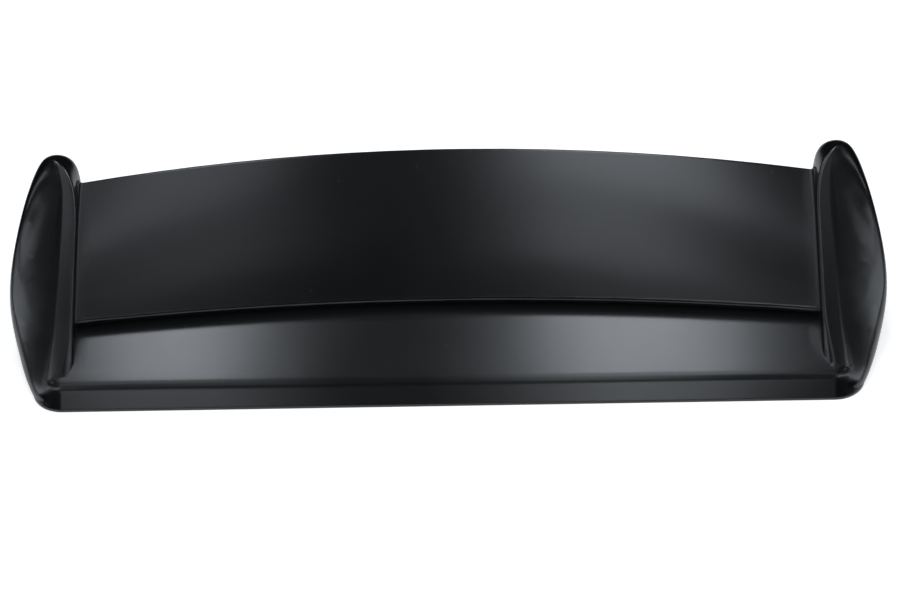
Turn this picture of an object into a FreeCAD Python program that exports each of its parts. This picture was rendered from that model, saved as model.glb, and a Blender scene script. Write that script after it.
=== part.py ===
"""Trunk spoiler: a plinth, two end fins and an arched blade moulded as one piece, with brass inserts.

Millimetres. +X runs along the spoiler, +Y points to the rear of the car, +Z up. The origin is the centre of
the insert pattern, on the flat underside that sits on the trunk lid.
"""

import FreeCAD
import Part

import math
import os

Vector = FreeCAD.Vector

# Plinth: a long wedge with a vertical lip, a sloping front band, a ramp for its top and a rear band
plinth_front_reach = 121.0
plinth_rear_reach = 125.0
plinth_end_reach = 58.0
plinth_corner_radius = 45.0
lip_height = 4.0
front_band_run = 21.0
side_band_run = 18.0
rear_band_run = 62.0
front_crease_height = 28.0
plinth_top_slope_deg = 14.0
plinth_top_round = 28.0

# Fins: swept pods with a flat rim strip that ends in a crisp crease, and a domed top
fin_inner_half = 509.0
fin_width = 92.0
rim_width = 29.0
rim_top_lean = 9.0
nose_width = 40.0
dome_width = 38.0
bulge_height = 65.0
bulge_foot_tuck = 18.0
bulge_top_tuck = 24.0
nose_setback = 12.5
nose_height = 16.6
nose_softness = 3.0
rim_slope_deg = 35.0
fin_rear_setback = 18.0
fin_rear_rake_deg = 16.0
fin_top_height = 208.0
fin_top_round = 26.0
dome_height = 44.0
dome_outer_fullness = 2.6
dome_inner_fullness = 2.0
dome_last_turn_deg = 85.0
nose_inner_radius = 22.0
nose_outer_radius = 25.0
rim_inner_radius = 5.0
rim_crease_radius = 3.0
nose_blend_height = 95.0
fin_rear_width = 62.0
fin_rear_round_share = 1.0 / 3.0
nose_outer_start_deg = 48.0
outer_start_deg = 52.0
outer_end_deg = 24.0
fin_body_levels = 5
fin_dome_levels = 4

# Strips that each rounded face is made of, so that no strip turns far
loft_degree = 3
round_strips = 6
bend_strips = 3
face_strips = 6
flare_strips = 3

# Blade: a cambered wing that rises towards the rear and bows over the span, close above the plinth's ramp
blade_chord = 194.0
blade_slope_deg = 33.0
blade_camber = 5.0
blade_thickness = 24.0
blade_nose_radius = 8.0
blade_tail_radius = 4.0
blade_slot = 8.0
blade_rim_gap = 8.5
blade_nose_bow = 27.0
blade_tail_bow = 27.0
blade_tail_rise = 27.0
blade_root_flare = 4.0
blade_root_sink = 3.0

# Threaded inserts in the underside
insert_spacing_x = 860.0
insert_spacing_y = 150.0
insert_radius = 5.0
insert_length = 16.0
insert_bore_radius = 2.5
bore_run_out = 6.0


def mix(start, end, share):
    """The value that lies the given share of the way from start to end."""
    return start + (end - start) * share


def ease(share):
    """An S-shaped ramp from 0 to 1, level at both ends."""
    share = min(max(share, 0.0), 1.0)
    return share * share * (3.0 - 2.0 * share)


def rounded_wire(corners, radii):
    """A closed wire of straight edges through flat corners, each rounded by a tangent arc."""
    edges = []
    joints = []
    count = len(corners)
    for i in range(count):
        corner = corners[i]
        back = (corners[i - 1] - corner).normalize()
        ahead = (corners[(i + 1) % count] - corner).normalize()
        half = back.getAngle(ahead) / 2
        inward = (back + ahead).normalize()
        reach = radii[i] / math.tan(half)
        middle = corner + inward * (radii[i] / math.sin(half) - radii[i])
        joints.append((corner + back * reach, middle, corner + ahead * reach))
    for i in range(count):
        start, middle, end = joints[i]
        edges.append(Part.Arc(start, middle, end).toShape())
        edges.append(Part.LineSegment(end, joints[(i + 1) % count][0]).toShape())
    return Part.Wire(edges)


def plinth_outline(front_inset, side_inset, rear_inset, front_z, rear_z):
    """The plinth's outline pulled in from its footprint, in a plane that tilts about the X axis."""
    half = fin_inner_half + plinth_end_reach - side_inset
    front = -plinth_front_reach + front_inset
    rear = plinth_rear_reach - rear_inset
    corners = [
        Vector(-half, front, front_z),
        Vector(half, front, front_z),
        Vector(half, rear, rear_z),
        Vector(-half, rear, rear_z),
    ]
    radius = plinth_corner_radius - side_inset
    return rounded_wire(corners, [radius] * len(corners))


def plinth_top_z(y):
    """The height of the plinth's ramp at y."""
    return front_crease_height + (y + plinth_front_reach - front_band_run) * math.tan(
        math.radians(plinth_top_slope_deg)
    )


def make_plinth():
    """Vertical lip, then banded sides up to the tilted top, whose edge is rounded off."""
    foot = plinth_outline(0.0, 0.0, 0.0, 0.0, 0.0)
    lip = plinth_outline(0.0, 0.0, 0.0, lip_height, lip_height)
    rear_crease_height = plinth_top_z(plinth_rear_reach - rear_band_run)
    top = plinth_outline(
        front_band_run, side_band_run, rear_band_run, front_crease_height, rear_crease_height
    )
    plinth = Part.makeLoft([foot, lip, top], True, True)
    top_face = max(plinth.Faces, key=lambda face: face.CenterOfMass.z)
    return plinth.makeFillet(plinth_top_round, top_face.Edges)


class FinSide:
    """The fin's outline seen from the side: a straight rim and a raked rear edge that meet in a round top."""

    def __init__(self):
        rim = math.radians(rim_slope_deg)
        self.rim_run = math.cos(rim) / math.sin(rim)
        self.rear_run = math.tan(math.radians(fin_rear_rake_deg))
        self.nose_y = -plinth_front_reach + nose_setback
        self.rear_y = plinth_rear_reach + fin_rear_setback
        self.centre_z = fin_top_height - fin_top_round
        self.centre_y = self.rim_y(self.centre_z) + fin_top_round / math.sin(rim)
        self.rim_end = self.centre_z + fin_top_round * math.cos(rim)

    def rim_y(self, z):
        """Where the straight rim passes the height z."""
        return self.nose_y + (z - nose_height) * self.rim_run

    def front(self, z):
        """The front edge: an upright nose that bends softly into the rim, and then the round top."""
        if z >= self.rim_end:
            return self.centre_y - self.half_top(z)
        lift = (self.rim_y(z) - self.nose_y) / 2
        return self.nose_y + lift + math.sqrt(lift * lift + nose_softness * nose_softness)

    def half_top(self, z):
        """Half the length of the round top at the height z."""
        rise = max(z - self.centre_z, 0.0)
        return math.sqrt(max(fin_top_round ** 2 - rise ** 2, 0.0))

    def rear(self, z):
        """The rear edge: a raked line that curls over into the round top."""
        return min(self.rear_y + z * self.rear_run, self.centre_y + self.half_top(z))


def bezier(points, strips):
    """A cubic Bezier curve, as the given number of edges in a row."""
    edges = []
    for left in range(strips, 0, -1):
        share = 1.0 / left
        first = [mix(points[i], points[i + 1], share) for i in range(3)]
        second = [mix(first[i], first[i + 1], share) for i in range(2)]
        cut = mix(second[0], second[1], share)
        curve = Part.BezierCurve()
        curve.setPoles([points[0], first[0], second[0], cut])
        edges.append(curve.toShape())
        points = [cut, second[1], first[2], points[3]]
    return edges


def bend(start, corner, end, strips):
    """A rounded corner, as near to a circle's arc as one cubic curve comes."""
    turn = math.pi - (start - corner).getAngle(end - corner)
    reach = 4.0 / 3.0 * math.tan(turn / 4) / math.tan(turn / 2)
    return bezier([start, start + (corner - start) * reach, end + (corner - end) * reach, end], strips)


def half_round(start, leave, end, arrive, depth):
    """A round end that leaves start and arrives at end along unit vectors, the given depth beyond them."""
    reach = depth * 4.0 / 3.0
    return bezier([start, start + leave * reach, end - arrive * reach, end], round_strips)


def dome_share(rise, fullness):
    """The share of the fin's width that is left at a share of the dome's height: a rounded falling curve."""
    return (1.0 - rise ** fullness) ** (1.0 / fullness)


def fin_section(side, z):
    """One level cut through the fin: inner face, rim strip, crease, bulging outer face and round rear."""
    shoulder = fin_top_height - dome_height
    rise = max(z - shoulder, 0.0) / dome_height
    keep = dome_share(rise, dome_outer_fullness)
    keep_inner = dome_share(rise, dome_inner_fullness)
    sharp = ease(z / nose_blend_height)
    front = side.front(z)
    rear = side.rear(z)
    centre = fin_inner_half + dome_width
    inner = mix(centre, fin_inner_half, keep_inner)
    strip_width = mix(nose_width, rim_width, sharp) - rim_top_lean * z / shoulder
    crease = inner + strip_width * keep_inner
    if z < bulge_height:
        tuck = bulge_foot_tuck * (1.0 - z / bulge_height) ** 2
    else:
        tuck = bulge_top_tuck * ((z - bulge_height) / (shoulder - bulge_height)) ** 2
    bulge = mix(centre, fin_inner_half + fin_width - tuck, keep)
    inner_radius = keep_inner * mix(nose_inner_radius, rim_inner_radius, sharp)
    crease_radius = keep_inner * mix(nose_outer_radius, rim_crease_radius, sharp)
    rear_width = keep_inner * fin_rear_width
    rear_depth = min(rear_width / 2, (rear - front) * fin_rear_round_share)

    start = math.radians(mix(nose_outer_start_deg, outer_start_deg, sharp))
    end = math.radians(outer_end_deg)
    leave = Vector(math.sin(start), math.cos(start), 0.0)
    arrive = Vector(-math.sin(end), math.cos(end), 0.0)
    corner = Vector(crease, front, z)
    reach = crease_radius * math.tan((math.pi / 2 - start) / 2)
    strip_start = Vector(inner + inner_radius, front, z)
    strip_end = corner - Vector(reach, 0.0, 0.0)
    outer_start = corner + leave * reach
    inner_front = Vector(inner, front + inner_radius, z)
    inner_rear = Vector(inner, rear - rear_depth, z)
    outer_end = Vector(inner + rear_width, rear - rear_depth, z)
    swell = (4.0 * bulge - 2.0 * outer_start.x - 2.0 * outer_end.x) / 3.0
    outer = [
        outer_start,
        outer_start + leave * (swell / leave.x),
        outer_end + arrive * (swell / arrive.x),
        outer_end,
    ]
    edges = [Part.LineSegment(inner_rear, inner_front).toShape()]
    edges += bend(inner_front, Vector(inner, front, z), strip_start, bend_strips)
    edges.append(Part.LineSegment(strip_start, strip_end).toShape())
    edges += bend(strip_end, corner, outer_start, 1)
    edges += bezier(outer, face_strips)
    edges += half_round(outer_end, arrive, inner_rear, Vector(0.0, -1.0, 0.0), rear_depth)
    return Part.Wire(edges)


def make_fin():
    """The fin on the +X end, lofted through level cuts from the underside to the round top."""
    side = FinSide()
    shoulder = fin_top_height - dome_height
    levels = [0.0]
    for i in range(fin_body_levels):
        levels.append(mix(nose_height, shoulder, i / fin_body_levels))
    last_turn = math.radians(dome_last_turn_deg)
    for i in range(fin_dome_levels):
        levels.append(shoulder + dome_height * math.sin(last_turn * i / (fin_dome_levels - 1)))
    return Part.makeLoft([fin_section(side, z) for z in levels], True, False, False, loft_degree)


def blade_end_y():
    """How far back the blade's nose sits at its ends: behind the rim, and just above the plinth's ramp."""
    side = FinSide()
    ramp = math.tan(math.radians(plinth_top_slope_deg))
    setback = (blade_rim_gap + blade_nose_radius) / math.sin(math.radians(rim_slope_deg))
    level = plinth_top_z(0.0) + blade_slot + blade_nose_radius
    return (side.rim_y(level) + setback) / (1.0 - ramp * side.rim_run)


def blade_profile(x, grown):
    """The wing section at x, thickened all round by grown: round nose and tail, cambered faces."""
    arch = 1.0 - (x / fin_inner_half) ** 2
    slope = math.radians(blade_slope_deg)
    end_y = blade_end_y()
    seat = blade_slot + blade_nose_radius
    nose_y = end_y + blade_nose_bow * arch
    nose = Vector(x, nose_y, plinth_top_z(nose_y) + seat)
    tail = Vector(
        x,
        end_y + blade_chord * math.cos(slope) + blade_tail_bow * arch,
        plinth_top_z(end_y) + seat + blade_chord * math.sin(slope) + blade_tail_rise * arch,
    )
    along = (tail - nose).normalize()
    up = Vector(1.0, 0.0, 0.0).cross(along)
    nose_radius = blade_nose_radius + grown
    tail_radius = blade_tail_radius + grown
    nose_top = nose + up * nose_radius
    nose_under = nose - up * nose_radius
    tail_top = tail + up * tail_radius
    tail_under = tail - up * tail_radius
    third = along * ((tail - nose).Length / 3)
    lift = up * (blade_camber * 4.0 / 3.0)
    drop = up * ((blade_thickness - blade_camber - blade_nose_radius - blade_tail_radius) * 4.0 / 3.0)
    edges = bezier([nose_top, nose_top + third + lift, tail_top - third + lift, tail_top], face_strips)
    edges += half_round(tail_top, along, tail_under, -along, tail_radius)
    edges += bezier(
        [tail_under, tail_under - third - drop, nose_under + third - drop, nose_under], face_strips
    )
    edges += half_round(nose_under, -along, nose_top, along, nose_radius)
    return Part.Wire(edges)


def make_blade():
    """The blade up to the start of its roots, lofted through wing sections along the bowed span."""
    reach = fin_inner_half - blade_root_flare
    return Part.makeLoft([blade_profile(x, 0.0) for x in (-reach, 0.0, reach)], True, False)


def make_blade_root():
    """The flare that carries the blade's +X end into the fin: it widens as a fillet does, then runs on."""
    start = fin_inner_half - blade_root_flare
    sections = []
    for i in range(flare_strips):
        turn = math.pi / 2 * i / flare_strips
        grown = blade_root_flare * (1.0 - math.cos(turn))
        sections.append((start + blade_root_flare * math.sin(turn), grown))
    sections.append((fin_inner_half, blade_root_flare))
    sections.append((fin_inner_half + blade_root_sink, blade_root_flare))
    return Part.makeLoft([blade_profile(x, grown) for x, grown in sections], True, True)


def insert_profile(inside):
    """Half the section of an insert on the XZ plane, from the given inner radius outwards."""
    points = [(inside, 0.0), (insert_radius, 0.0), (insert_radius, insert_length), (inside, insert_length)]
    corners = [Vector(r, 0.0, z) for r, z in points]
    return Part.Face(Part.makePolygon(corners + corners[:1]))


def turned(profile):
    """A profile turned about the Z axis."""
    return profile.revolve(Vector(0, 0, 0), Vector(0, 0, 1), 360.0)


def insert_places():
    """The four centres of the insert pattern on the underside."""
    half_x = insert_spacing_x / 2
    half_y = insert_spacing_y / 2
    return [Vector(x, y, 0.0) for x in (-half_x, half_x) for y in (-half_y, half_y)]


def placed(shape, place):
    """A copy of a shape moved to a place."""
    copy = shape.copy()
    copy.translate(place)
    return copy


def mirrored(shape):
    """The same shape at the other end of the spoiler."""
    return shape.mirror(Vector(0, 0, 0), Vector(1, 0, 0))


def make_body():
    """The whole moulding: plinth, fins and blade joined."""
    fin = make_fin()
    root = make_blade_root()
    return make_plinth().fuse([fin, mirrored(fin), make_blade(), root, mirrored(root)])


def make_insert_pockets():
    """The holes that the inserts are moulded into, with room for the bolt ends above them."""
    run_out = Part.makeCylinder(insert_bore_radius, insert_length + bore_run_out)
    pocket = turned(insert_profile(0.0)).fuse(run_out)
    return [placed(pocket, place) for place in insert_places()]


def main():
    os.makedirs("parts", exist_ok=True)
    body = make_body().cut(make_insert_pockets())
    insert = turned(insert_profile(insert_bore_radius))
    inserts = Part.makeCompound([placed(insert, place) for place in insert_places()])
    for name, shape in (("spoiler_body", body), ("threaded_inserts", inserts)):
        print(name, shape.isValid(), len(shape.Solids), len(shape.Faces), round(shape.Volume), shape.BoundBox)
        shape.exportStep(f"parts/{name}.step")


if __name__ == "__main__":
    main()
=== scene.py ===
# %% [markdown]
# # A trunk spoiler, from solids to a studio picture
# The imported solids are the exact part. This lesson loads them, paints them, cuts real threads into the
# brass inserts, and photographs the part in a white studio. Lengths are in metres. +X runs along the
# spoiler, +Y points to the rear of the car, and z = 0 is the flat underside.

import bmesh
import bpy
import numpy as np
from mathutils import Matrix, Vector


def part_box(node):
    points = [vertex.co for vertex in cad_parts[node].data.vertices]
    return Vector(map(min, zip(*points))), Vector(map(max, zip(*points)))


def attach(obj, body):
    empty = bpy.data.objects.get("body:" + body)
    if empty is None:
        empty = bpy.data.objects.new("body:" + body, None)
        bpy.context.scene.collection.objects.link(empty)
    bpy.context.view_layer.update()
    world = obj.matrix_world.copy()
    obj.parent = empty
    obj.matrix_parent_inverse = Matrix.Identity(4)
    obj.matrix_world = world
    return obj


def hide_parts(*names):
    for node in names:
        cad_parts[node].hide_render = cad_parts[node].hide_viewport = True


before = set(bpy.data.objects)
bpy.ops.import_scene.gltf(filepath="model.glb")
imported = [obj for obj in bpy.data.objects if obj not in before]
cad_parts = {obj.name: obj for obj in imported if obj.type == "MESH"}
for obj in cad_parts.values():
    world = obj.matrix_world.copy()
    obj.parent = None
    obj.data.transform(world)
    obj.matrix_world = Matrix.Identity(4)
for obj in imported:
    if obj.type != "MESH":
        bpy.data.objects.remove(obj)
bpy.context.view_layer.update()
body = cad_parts["spoiler_body"]

# %% [markdown]
# ## Writing a shader as a formula
# A material is a graph of nodes. Placing each node by hand hides the idea, so this small class lets
# the graph be written as arithmetic: adding two wrapped sockets adds a Math node.


# %% A socket that does arithmetic
class Wire:
    """One output socket of a node tree. Operators add Math nodes; node() adds any other node."""

    def __init__(self, tree, socket):
        self.tree = tree
        self.socket = socket

    @staticmethod
    def node(tree, kind, settings=None, **values):
        """Adds a node, sets its settings first, then sets or links each named or numbered input."""
        made = tree.nodes.new(kind)
        for name, value in (settings or {}).items():
            setattr(made, name, value)
        for name, value in values.items():
            key = int(name[1:]) if name[0] == "i" and name[1:].isdigit() else name.replace("_", " ")
            if isinstance(value, Wire):
                tree.links.new(value.socket, made.inputs[key])
            else:
                made.inputs[key].default_value = value
        return made

    def math(self, operation, first, second):
        made = Wire.node(self.tree, "ShaderNodeMath", {"operation": operation}, i0=first, i1=second)
        return Wire(self.tree, made.outputs[0])

    def __add__(self, other):
        return self.math("ADD", self, other)

    def __radd__(self, other):
        return self.math("ADD", other, self)

    def __sub__(self, other):
        return self.math("SUBTRACT", self, other)

    def __rsub__(self, other):
        return self.math("SUBTRACT", other, self)

    def __mul__(self, other):
        return self.math("MULTIPLY", self, other)

    def __rmul__(self, other):
        return self.math("MULTIPLY", other, self)

    def __lt__(self, other):
        return self.math("LESS_THAN", self, other)

    def __gt__(self, other):
        return self.math("GREATER_THAN", self, other)


def object_place(tree):
    """The point on the piece, in its own metres."""
    return Wire(tree, Wire.node(tree, "ShaderNodeTexCoord").outputs["Object"])


def noise(tree, place, per_metre, detail):
    """A smooth random value around 0.5, with the given number of bumps per metre."""
    made = Wire.node(tree, "ShaderNodeTexNoise", Vector=place, Scale=per_metre, Detail=detail)
    return Wire(tree, made.outputs["Fac"])


def fresh_material(name):
    """An empty material with one Principled shader, returned with its node tree."""
    material = bpy.data.materials.new(name)
    material.use_nodes = True
    tree = material.node_tree
    return material, tree, tree.nodes["Principled BSDF"]


def blend_colour(tree, share, low, high):
    """A colour that runs from low to high with the share; either may be a plain colour or a wire."""
    made = Wire.node(tree, "ShaderNodeMix", {"data_type": "RGBA"}, i0=share, i6=low, i7=high)
    return Wire(tree, made.outputs[2])


# %% [markdown]
# ## Satin black primer
# The moulding is sprayed with a satin black primer. From afar it is one even black. Up close such paint
# has a faint orange peel, a gloss that wanders where the spray went on thicker, and a few specks of dust
# that settled while it dried. Noise textures give all of these, and being worked out from the point on
# the part, they stay put from every side. In inside corners, such as the foot of each fin, the spray lands
# dry and the paint is duller. How much of the sky a point sees tells where those corners are. The solids
# come as loose triangles, so they are welded, split again at the creases and given even normals, which
# keeps the broad faces smooth and the creases crisp.


# %% The satin black finish
def satin_black():
    """Near-black paint: slow drift in colour and gloss, orange peel, dust, and softly shaded edges."""
    thick_paint = (0.0024, 0.0027, 0.0034, 1.0)
    thin_paint = (0.0040, 0.0044, 0.0054, 1.0)
    dust = (0.030, 0.031, 0.033, 1.0)
    dust_cells_per_metre = 55.0
    dust_size = 0.045
    empty_cells = 0.8
    corner_reach = 0.020
    edge_round = 0.0025
    material, tree, shader = fresh_material("satin_black_primer")
    place = object_place(tree)
    drift = noise(tree, place, 9.0, 3.0)
    grain = noise(tree, place, 900.0, 1.0)
    peel = noise(tree, place, 260.0, 2.0)
    cells = Wire.node(tree, "ShaderNodeTexVoronoi", Vector=place, Scale=dust_cells_per_metre)
    lottery = Wire.node(tree, "ShaderNodeSeparateColor", Color=Wire(tree, cells.outputs["Color"]))
    drawn = Wire(tree, lottery.outputs["Red"]) > empty_cells
    speck = (Wire(tree, cells.outputs["Distance"]) < dust_size) * drawn
    paint = blend_colour(tree, drift, thick_paint, thin_paint)
    colour = blend_colour(tree, speck, paint, dust)
    tree.links.new(colour.socket, shader.inputs["Base Color"])
    corner_look = {"samples": 8, "only_local": True}
    reach = Wire.node(tree, "ShaderNodeAmbientOcclusion", corner_look, Distance=corner_reach)
    dry_spray = 1.0 - Wire(tree, reach.outputs["AO"])
    gloss = 0.17 + 0.05 * drift + 0.04 * grain + 0.25 * speck + 0.8 * dry_spray
    tree.links.new(gloss.socket, shader.inputs["Roughness"])
    relief = peel + 0.4 * grain + 0.6 * speck
    bump = Wire.node(tree, "ShaderNodeBump", Height=relief, Strength=0.06, Distance=0.0004)
    soft_edges = Wire.node(tree, "ShaderNodeBevel", {"samples": 6}, Radius=edge_round)
    tree.links.new(soft_edges.outputs["Normal"], bump.inputs["Normal"])
    tree.links.new(bump.outputs["Normal"], shader.inputs["Normal"])
    return material


weld_gap = 0.00002
crease_angle = np.radians(32.0)
primer = satin_black()
body.data.materials.clear()
body.data.materials.append(primer)
body.data.polygons.foreach_set("use_smooth", np.ones(len(body.data.polygons), bool))
weld = body.modifiers.new("weld", "WELD")
weld.merge_threshold = weld_gap
split = body.modifiers.new("keep_creases", "EDGE_SPLIT")
split.split_angle = crease_angle
weighted = body.modifiers.new("even_normals", "WEIGHTED_NORMAL")
weighted.keep_sharp = True
print("body triangles:", len(body.data.polygons), "nodes in the paint:", len(primer.node_tree.nodes))

# %% [markdown]
# ## A skin over a grid of points
# A bush is one kind of surface: a closed profile carried round an axis. The points are worked out as one
# array, and this helper only joins neighbours into four-sided faces, so the skin closes on itself both
# along the profile and round the axis.


# %% From an array of points to a mesh
def skin(name, points):
    """A closed mesh over points[i, j], which is point j of profile i; rows and columns both close."""
    rows, columns = points.shape[:2]
    index = np.arange(rows * columns).reshape(rows, columns)
    beside = np.roll(index, -1, axis=0)
    quads = np.stack([index, np.roll(index, -1, axis=1), np.roll(beside, -1, axis=1), beside], axis=-1)
    mesh = bpy.data.meshes.new(name)
    mesh.from_pydata(points.reshape(-1, 3).tolist(), [], quads.reshape(-1, 4).tolist())
    shell = bmesh.new()
    shell.from_mesh(mesh)
    bmesh.ops.recalc_face_normals(shell, faces=shell.faces)
    shell.to_mesh(mesh)
    shell.free()
    mesh.polygons.foreach_set("use_smooth", np.ones(len(mesh.polygons), bool))
    mesh.set_sharp_from_angle(angle=np.radians(35.0))
    piece = bpy.data.objects.new(name, mesh)
    bpy.context.collection.objects.link(piece)
    return piece


# %% [markdown]
# ## Turned brass
# The inserts are turned from brass bar, so their faces carry fine rings from the tool, and the metal dulls
# in patches where it was handled. A picture of brass would need a map for each bush. A sine of the height
# gives the rings and a noise gives the patches, with no map at all.


# %% The brass finish
def turned_brass():
    """Brass with turning marks that follow the sine of the height, duller and browner in patches."""
    ring_radians_per_metre = 24000.0
    dull_brass = (0.47, 0.32, 0.11, 1.0)
    clean_brass = (0.70, 0.53, 0.24, 1.0)
    material, tree, shader = fresh_material("turned_brass")
    place = object_place(tree)
    patch = noise(tree, place, 260.0, 3.0)
    height = Wire(tree, Wire.node(tree, "ShaderNodeSeparateXYZ", Vector=place).outputs["Z"])
    marks = height.math("SINE", height * ring_radians_per_metre, 0.0)
    colour = blend_colour(tree, patch, dull_brass, clean_brass)
    tree.links.new(colour.socket, shader.inputs["Base Color"])
    gloss = 0.20 + 0.22 * patch + 0.03 * marks
    tree.links.new(gloss.socket, shader.inputs["Roughness"])
    bump = Wire.node(tree, "ShaderNodeBump", Height=marks, Strength=0.1, Distance=0.00005)
    tree.links.new(bump.outputs["Normal"], shader.inputs["Normal"])
    shader.inputs["Metallic"].default_value = 1.0
    return material


brass = turned_brass()
print("nodes in the brass:", len(brass.node_tree.nodes))

# %% [markdown]
# ## Threaded inserts
# Four brass inserts are moulded into the underside for the bolts that come up through the trunk lid. The
# solids have plain bores, because a thread is too fine for them. Here the bore gets its real thread: at
# every height the wall swings between the core and the full thread radius, and the swing moves on by one
# pitch for each turn, which is what makes it a helix. A Screw modifier could make one too, but it leaves
# the ends open, and an array keeps thread, chamfer and outside in one closed skin.

# %% Inserts with a real thread
insert_low, insert_high = (np.array(corner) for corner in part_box("threaded_inserts"))
insert_radius = 0.005
insert_length = insert_high[2] - insert_low[2]
thread_core = 0.0025
thread_full = 0.0030
thread_pitch = 0.001
mouth_chamfer = 0.0005
around = 48
thread_steps = 160


def threaded_insert(place_x, place_y):
    """Profiles round the axis, down the bore, across the mouth and up the outside; the bore's radius is a
    triangle wave of height over pitch less the share of a turn."""
    turn = np.linspace(0.0, 2.0 * np.pi, around, endpoint=False)[:, None]
    bore_z = np.linspace(insert_length, mouth_chamfer, thread_steps)[None, :]
    phase = np.mod(bore_z / thread_pitch - turn / (2.0 * np.pi), 1.0)
    bore_r = thread_core + (thread_full - thread_core) * (1.0 - np.abs(2.0 * phase - 1.0))
    mouth_r = thread_full + mouth_chamfer
    rim_r = np.array([[mouth_r, insert_radius - mouth_chamfer, insert_radius, insert_radius]])
    rim_z = np.array([[0.0, 0.0, mouth_chamfer, insert_length]])
    r = np.concatenate([bore_r, np.repeat(rim_r, around, axis=0)], axis=1)
    z = np.concatenate([np.repeat(bore_z, around, axis=0), np.repeat(rim_z, around, axis=0)], axis=1)
    return np.stack([place_x + r * np.cos(turn), place_y + r * np.sin(turn), z], axis=-1)


pattern_x = insert_high[0] - insert_radius
pattern_y = insert_high[1] - insert_radius
inserts = []
for row_x, end_name in ((-pattern_x, "left"), (pattern_x, "right")):
    for row_y, side_name in ((-pattern_y, "front"), (pattern_y, "rear")):
        bush = skin("insert_" + end_name + "_" + side_name, threaded_insert(row_x, row_y))
        bush.data.materials.append(brass)
        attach(bush, "root")
        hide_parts("threaded_inserts")
        inserts.append(bush)
print("inserts:", len(inserts), "faces each:", len(inserts[0].data.polygons))

# %% [markdown]
# ## The camera
# The photograph looks down at the front of the spoiler from about 40 degrees, with a long lens and a
# slight roll, so the camera's axes are worked out from those angles. Its axis is then turned a little, so
# that the middle of the part lands on the same pixel as in the photograph.

# %% The camera
view_height = np.radians(40.0)
view_turn = np.radians(-2.3)
view_roll = np.radians(-2.5)
view_distance = 3.5
focal_pixels = 2555.0
image_size = np.array([900.0, 600.0])
sensor = 36.0
target = np.array([0.0, 0.040, 0.110])
target_pixel = np.array([445.5, 267.0])

ahead = np.array([
    np.sin(view_turn) * np.cos(view_height),
    np.cos(view_turn) * np.cos(view_height),
    -np.sin(view_height),
])
level = np.array([np.cos(view_turn), -np.sin(view_turn), 0.0])
above = np.cross(level, ahead)
right = np.cos(view_roll) * level + np.sin(view_roll) * above
up = np.cos(view_roll) * above - np.sin(view_roll) * level
eye = target - view_distance * ahead
off_axis = (target_pixel - image_size / 2) / focal_pixels
aim = ahead - off_axis[0] * right + off_axis[1] * up
aim /= np.linalg.norm(aim)
right = right - aim * (right @ aim)
right /= np.linalg.norm(right)


def pose_matrix(x_axis, z_axis, place):
    """The matrix of an object with the given X and Z axes, at a place."""
    pose = np.eye(4)
    pose[:3, 0] = x_axis
    pose[:3, 1] = np.cross(z_axis, x_axis)
    pose[:3, 2] = z_axis
    pose[:3, 3] = place
    return pose.T.tolist()


camera_data = bpy.data.cameras.new("camera")
camera_data.sensor_width = sensor
camera_data.lens = focal_pixels / image_size[0] * sensor
camera_data.clip_end = 50.0
camera = bpy.data.objects.new("camera", camera_data)
bpy.context.collection.objects.link(camera)
camera.matrix_world = pose_matrix(right, -aim, eye)
bpy.context.scene.camera = camera
print("lens:", round(camera_data.lens, 1), "mm, eye:", eye.round(3))

# %% [markdown]
# ## The floor
# The part stands on a plain pale floor. In the photograph the ground is pure white, so the floor is lifted
# to white for the camera and for mirror rays only. That adds no light to the part, and the part's shadow
# still shows. Its top lies a hair below the underside, because two faces in one plane flicker.


# %% The floor
def studio_floor():
    """A wide matt floor with a glow that only camera, glossy and transmission rays can see."""
    half = 12.0
    top = -0.0002
    pale = 0.82
    glow_strength = 0.72
    mesh = bpy.data.meshes.new("floor")
    corners = [(-half, -half, top), (half, -half, top), (half, half, top), (-half, half, top)]
    mesh.from_pydata(corners, [], [(0, 1, 2, 3)])
    floor = bpy.data.objects.new("floor", mesh)
    bpy.context.collection.objects.link(floor)
    material, tree, shader = fresh_material("pale_floor")
    shader.inputs["Base Color"].default_value = (pale, pale, pale, 1.0)
    shader.inputs["Roughness"].default_value = 0.9
    path = Wire.node(tree, "ShaderNodeLightPath")
    seen = Wire(tree, path.outputs["Is Camera Ray"])
    for name in ("Is Glossy Ray", "Is Transmission Ray"):
        seen = seen + Wire(tree, path.outputs[name])
    glow = Wire.node(tree, "ShaderNodeEmission", Strength=glow_strength * seen)
    both = tree.nodes.new("ShaderNodeAddShader")
    tree.links.new(shader.outputs[0], both.inputs[0])
    tree.links.new(glow.outputs[0], both.inputs[1])
    tree.links.new(both.outputs[0], tree.nodes["Material Output"].inputs["Surface"])
    mesh.materials.append(material)
    return floor


floor = studio_floor()
print("floor:", floor.dimensions[:2])

# %% [markdown]
# ## The lamps
# Black paint shows almost nothing of itself and mostly mirrors the lamps, so the lamps are placed by where
# each surface looks. Two rows of soft boxes hang over the part with a dark gap between them, and the gap
# is what leaves the middle of the part black. The ramp mirrors the rear boxes, the blade those overhead,
# and the front band those in front. The fins look outward: their crests mirror two small boxes, their
# shoulders two wide ones, and the lower half of each outer face a leaning strip at the side.


# %% Soft boxes
daylight = (0.92, 0.98, 1.05)


def soft_box(name, place, width, length, brightness, along=(0.0, 1.0, 0.0)):
    """A rectangular lamp that faces the part; its length runs as nearly along the given axis as it can."""
    data = bpy.data.lights.new(name, "AREA")
    data.shape = "RECTANGLE"
    data.size = width
    data.size_y = length
    data.energy = brightness * np.pi * width * length
    data.color = daylight
    lamp = bpy.data.objects.new(name, data)
    bpy.context.collection.objects.link(lamp)
    lamp.visible_camera = False
    away = np.array(place) / np.linalg.norm(place)
    across = np.cross(along, away)
    across /= np.linalg.norm(across)
    lamp.matrix_world = pose_matrix(across, away, place)
    return lamp


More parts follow.
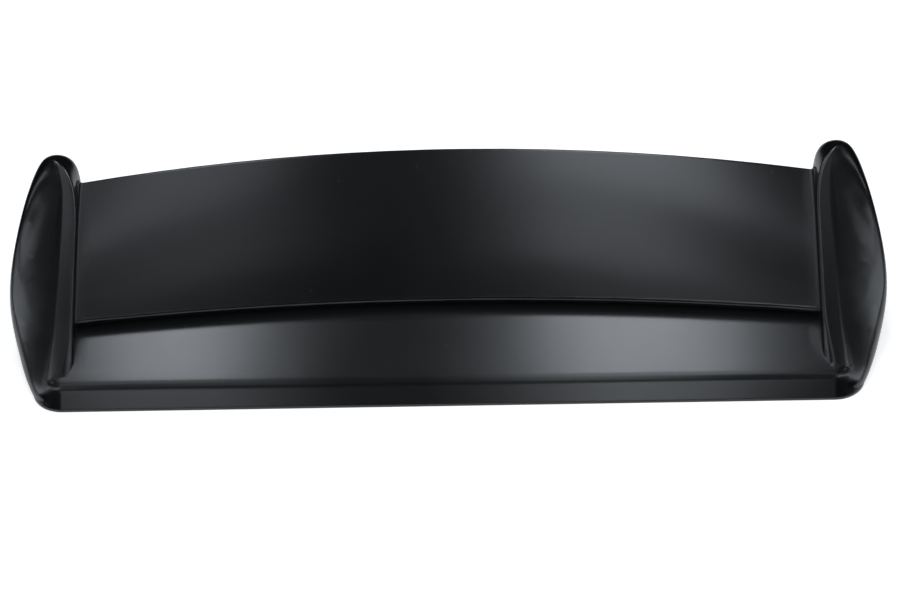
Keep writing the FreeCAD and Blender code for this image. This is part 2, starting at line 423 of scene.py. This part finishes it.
ceiling = 1.60
strip_lean = (0.0, -0.47, 0.88)
lamps = [
    soft_box("rear_left", (-0.60, 0.66, ceiling), 0.29, 0.62, 7.6),
    soft_box("rear_right", (0.33, 0.66, ceiling), 0.38, 0.62, 7.6),
    soft_box("over_left", (-0.60, 0.02, ceiling), 0.38, 0.52, 1.7),
    soft_box("over_right", (0.335, 0.02, ceiling), 0.45, 0.52, 3.4),
    soft_box("fore_left", (-0.50, -0.50, ceiling), 0.28, 0.45, 0.9),
    soft_box("fore_right", (0.26, -0.50, ceiling), 0.30, 0.45, 2.2),
    soft_box("low_left", (-0.53, -0.95, ceiling), 0.34, 0.40, 0.3),
    soft_box("low_right", (0.30, -0.95, ceiling), 0.36, 0.40, 0.8),
    soft_box("front_left", (-0.74, -1.85, ceiling), 0.42, 0.60, 2.3),
    soft_box("front_right", (0.38, -1.85, ceiling), 0.40, 0.60, 3.5),
    soft_box("rim_left", (-0.86, -0.33, ceiling), 0.20, 0.26, 1.6),
    soft_box("rim_right", (0.74, -0.33, ceiling), 0.16, 0.26, 0.8),
    soft_box("shoulder_left", (-1.25, -0.88, ceiling), 0.70, 0.34, 3.0),
    soft_box("shoulder_right", (1.25, -0.88, ceiling), 0.70, 0.34, 3.0),
    soft_box("crest_left", (-1.48, 0.02, ceiling), 0.22, 0.30, 3.0),
    soft_box("crest_right", (1.48, 0.04, ceiling), 0.22, 0.30, 3.0),
    soft_box("strip_left", (-2.00, -0.46, 0.82), 0.36, 1.5, 2.8, strip_lean),
    soft_box("strip_right", (1.90, -0.46, 0.82), 0.36, 1.5, 2.8, strip_lean),
]
print("lamps:", len(lamps), "watts in all:", round(sum(lamp.data.energy for lamp in lamps), 1))

# %% [markdown]
# ## Beyond the floor
# Past the floor's edge the camera sees white, and the part sees a dim room, so that the gaps between the
# lamps stay dark.

# %% The room
room_light = 0.015
world = bpy.data.worlds.new("studio")
bpy.context.scene.world = world
world.use_nodes = True
backdrop = world.node_tree.nodes["Background"]
backdrop.inputs["Color"].default_value = (1.0, 1.0, 1.0, 1.0)
room_path = Wire.node(world.node_tree, "ShaderNodeLightPath")
room_seen = Wire(world.node_tree, room_path.outputs["Is Camera Ray"])
room_strength = room_light + (1.0 - room_light) * room_seen
world.node_tree.links.new(room_strength.socket, backdrop.inputs["Strength"])
bpy.context.scene.view_settings.view_transform = "Standard"
print("room light:", room_light)
